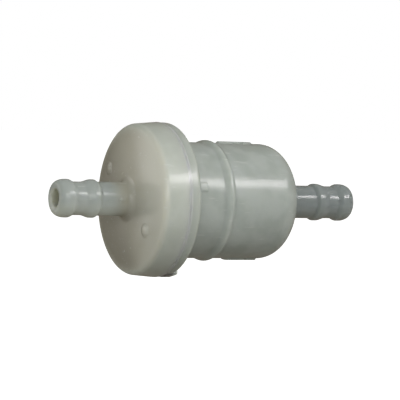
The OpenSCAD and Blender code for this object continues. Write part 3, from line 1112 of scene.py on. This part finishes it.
@dataclass
class FilterElement:
    """The pleated paper with its rounded folds, and the finishes of the pieces that hold it."""

    pleats: int = 24
    paper_t: float = 0.35
    crest_r: float = 9.4
    valley_r: float = 5.0
    sharpness: float = 0.985
    points_per_pleat: int = 24
    end_strip: float = 0.1

    def paper(self) -> Surface:
        """The paper: a star-shaped wall whose middle line's radius is a wave with rounded turns.

        The wave is the arcsine of a cosine that is kept just under one, which is a zigzag with round corners.
        The inner and outer skins lie half a thickness to each side of it, measured square to the line.

        Returns:
            The paper's surface.
        """
        low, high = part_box("pleated_paper")
        count = self.pleats * self.points_per_pleat
        a = np.linspace(0.0, 2.0 * np.pi, count, endpoint=False)
        wave = np.arcsin(self.sharpness * np.cos(self.pleats * a)) / math.asin(self.sharpness)
        middle = (self.crest_r + self.valley_r) / 2
        radius = middle + wave * ((self.crest_r - self.valley_r) / 2 - self.paper_t / 2)
        line_y, line_z = radius * np.cos(a), radius * np.sin(a)
        step_y = np.roll(line_y, -1) - np.roll(line_y, 1)
        step_z = np.roll(line_z, -1) - np.roll(line_z, 1)
        length = np.hypot(step_y, step_z)
        out_y, out_z = step_z / length * self.paper_t / 2, -step_y / length * self.paper_t / 2
        strip = self.end_strip * MM
        ends = np.array([low.x, low.x + strip, high.x - strip, high.x]) / MM
        rows = [(x, 1.0) for x in ends] + [(x, -1.0) for x in ends[::-1]]
        skins = [
            np.column_stack([np.full(count, x), line_y + side * out_y, line_z + side * out_z])
            for x, side in rows
        ]
        return Surface(np.vstack(skins), grid_faces(len(rows), count)).outwards()

    @staticmethod
    def finishes() -> dict[str, Finish]:
        """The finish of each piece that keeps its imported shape.

        Returns:
            The finishes, by the name of the node.
        """
        clip = Finish(
            "clip_steel", (0.62, 0.62, 0.63), (0.55, 0.55, 0.57), cloud_size=1.0, rough=0.32,
            bump=0.2, bump_size=0.15, metallic=1.0, grain=Grain.ALONG,
        )
        core = Finish(
            "core_plastic", (0.66, 0.66, 0.60), (0.72, 0.72, 0.66), cloud_size=2.5, rough=0.45,
            rough_spread=0.06, bump=0.2, bump_size=0.3,
        )
        disc = Finish(
            "disc_plastic", (0.58, 0.56, 0.48), (0.66, 0.64, 0.56), cloud_size=3.0, rough=0.5,
            bump=0.3, bump_size=0.4,
        )
        glue = Finish(
            "potting_adhesive", (0.50, 0.30, 0.08), (0.58, 0.37, 0.12), cloud_size=2.0, rough=0.28,
            rough_spread=0.1, bump=0.3, bump_size=1.5, scatter=0.2,
        )
        rubber = Finish(
            "seal_rubber", (0.012, 0.012, 0.012), (0.02, 0.02, 0.02), cloud_size=1.0, rough=0.6,
            rough_spread=0.1, bump=0.4, bump_size=0.2,
        )
        return {
            "seam_clip": clip,
            "core_tube": core,
            "closed_end_disc": disc,
            "open_end_disc": disc,
            "inlet_potting": glue,
            "outlet_potting": glue,
            "spigot_seal": rubber,
        }

    def build(self) -> None:
        """Makes the paper and gives the other pieces of the element their finishes."""
        finish = Finish(
            "filter_paper", (0.62, 0.50, 0.30), (0.70, 0.58, 0.37), cloud_size=1.2, rough=0.85,
            rough_spread=0.06, bump=0.5, bump_size=0.12, sheen=0.15,
        )
        piece = self.paper().piece("pleated_paper_star", finish.build(), "filter_paper")
        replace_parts(piece, "pleated_paper")
        LOG.info("paper: %d faces", len(piece.data.polygons))
        made: dict[str, Material] = {}
        for node, finish in self.finishes().items():
            if finish.name not in made:
                made[finish.name] = finish.build()
            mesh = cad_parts[node].data
            mesh.materials.clear()
            mesh.materials.append(made[finish.name])
            LOG.info("%s: finish %s", node, finish.name)


# --------------------------------------
# Studio
# --------------------------------------


def direction(turn: float, height: float) -> Vector:
    """Where a turn and a height point to: turn 0 is straight in front of the filter, and 90 its outlet."""
    a, e = math.radians(turn), math.radians(height)
    return Vector((math.sin(a) * math.cos(e), -math.cos(a) * math.cos(e), math.sin(e)))


@dataclass(frozen=True)
class SoftLight:
    """A soft box that looks at the filter's middle, from a direction and a distance in metres."""

    name: str
    turn: float
    height: float
    distance: float
    width: float
    tall: float
    power: float
    colour: Triple = (1.0, 1.0, 1.0)

    def build(self) -> None:
        """Adds the light, which the camera doesn't see."""
        lamp = bpy.data.lights.new(self.name, "AREA")
        lamp.shape = "RECTANGLE"
        lamp.size, lamp.size_y = self.width, self.tall
        lamp.energy = self.power
        lamp.color = self.colour
        towards = direction(self.turn, self.height)
        thing = in_scene(self.name, lamp)
        thing.location = towards * self.distance
        thing.rotation_mode = "QUATERNION"
        thing.rotation_quaternion = towards.to_track_quat("Z", "Y")
        thing.visible_camera = False


KEY = SoftLight("key", 37.0, 31.5, distance=0.60, width=0.46, tall=0.13, power=1.5, colour=(1.0, 0.96, 0.965))
NEAR_FILL = SoftLight("near_fill", -35.0, 14.0, distance=0.075, width=0.03, tall=0.03, power=0.0085)
BACK_LEFT = SoftLight(
    "back_left", -128.0, 12.0, distance=0.70, width=0.55, tall=0.45, power=1.0, colour=(1.0, 0.98, 0.93)
)
ROOT_GLINT = SoftLight("root_glint", -61.0, 4.0, distance=0.60, width=0.15, tall=0.12, power=0.2)


@dataclass
class Studio:
    """White surroundings, a pale floor, soft lights and the camera."""

    floor_z: float = -0.06
    floor_half: float = 6.0
    floor_grey: float = 0.85
    floor_rough: float = 0.9
    floor_glow: float = 0.85
    lights: tuple[SoftLight, ...] = (KEY, NEAR_FILL, BACK_LEFT, ROOT_GLINT)
    sky_towards: Triple = (-0.25, -0.80, 0.55)
    sky_reach: float = 0.8
    sky_dim: Triple = (0.165, 0.14, 0.11)
    sky_bright: Triple = (0.395, 0.425, 0.415)
    view_turn: float = -28.92
    view_height: float = 2.05
    view_roll: float = -2.04
    view_distance: float = 0.58015
    lens: float = 228.74
    sensor: float = 36.0
    shift: Pair = (-0.01202, 0.00083)
    sight: Pair = (0.05, 50.0)

    def camera(self) -> None:
        """Sets the camera up with a long lens, turned a little about its own axis."""
        a, roll = math.radians(self.view_turn), math.radians(self.view_roll)
        back = direction(self.view_turn, self.view_height)
        right = Vector((math.cos(a), math.sin(a), 0.0))
        up = back.cross(right)
        turned_right = right * math.cos(roll) - up * math.sin(roll)
        turned_up = right * math.sin(roll) + up * math.cos(roll)
        lens = bpy.data.cameras.new("camera")
        lens.lens = self.lens
        lens.sensor_width = self.sensor
        lens.shift_x, lens.shift_y = self.shift
        lens.clip_start, lens.clip_end = self.sight
        place = Matrix((turned_right, turned_up, back)).transposed().to_4x4()
        place.translation = back * self.view_distance
        thing = in_scene("camera", lens)
        thing.matrix_world = place
        bpy.context.scene.camera = thing

    def surroundings(self) -> None:
        """White all round for what is seen straight on. Its light comes mostly from in front and above."""
        world = bpy.data.worlds.new("studio")
        bpy.context.scene.world = world
        world.use_nodes = True
        world.node_tree.nodes.clear()
        nodes = Nodes(world.node_tree)
        facing = nodes.measured("DOT_PRODUCT", nodes.place("Generated"), self.sky_towards)
        sky = nodes.blend(nodes.ramp(facing, -self.sky_reach, self.sky_reach), self.sky_dim, self.sky_bright)
        light = nodes.add("Background", {"Color": sky}).outputs[0]
        white = nodes.add("Background", {"Color": (1.0, 1.0, 1.0)}).outputs[0]
        seen = nodes.add("LightPath", {}).outputs["Is Camera Ray"]
        mix = nodes.add("MixShader", {0: seen, 1: light, 2: white}).outputs[0]
        nodes.add("OutputWorld", {"Surface": mix})

    def floor(self) -> None:
        """A wide pale floor that glows a little, so that it stays white, and throws no light back up."""
        half, z = self.floor_half, self.floor_z
        mesh = bpy.data.meshes.new("floor")
        corners = [(-half, -half, z), (half, -half, z), (half, half, z), (-half, half, z)]
        mesh.from_pydata(corners, [], [(0, 1, 2, 3)])
        material, nodes, shader = new_material("floor_paint")
        inputs = {
            "Base Color": (self.floor_grey,) * 3,
            "Roughness": self.floor_rough,
            "Emission Color": (1.0, 1.0, 1.0),
            "Emission Strength": self.floor_glow,
        }
        nodes.fill(shader, inputs)
        mesh.materials.append(material)
        thing = in_scene("floor", mesh)
        thing.visible_diffuse = False
        thing.visible_glossy = False
        thing.visible_transmission = False

    def build(self) -> None:
        """Builds the whole studio, with colours shown as they are lit."""
        bpy.context.scene.view_settings.view_transform = "Standard"
        self.camera()
        self.surroundings()
        self.floor()
        for light in self.lights:
            light.build()


def main() -> None:
    """Builds the studio, then each sub-assembly in order."""
    logging.basicConfig(level=logging.INFO, format="%(name)s: %(message)s")
    Studio().build()
    at = Stations.measured()
    cap = InletCap(at).build()
    LOG.info("cap: %d faces", len(cap.data.polygons))
    canister = Canister(at).build()
    LOG.info("canister: %d faces", len(canister.data.polygons))
    FilterElement().build()


if __name__ == "__main__":
    main()
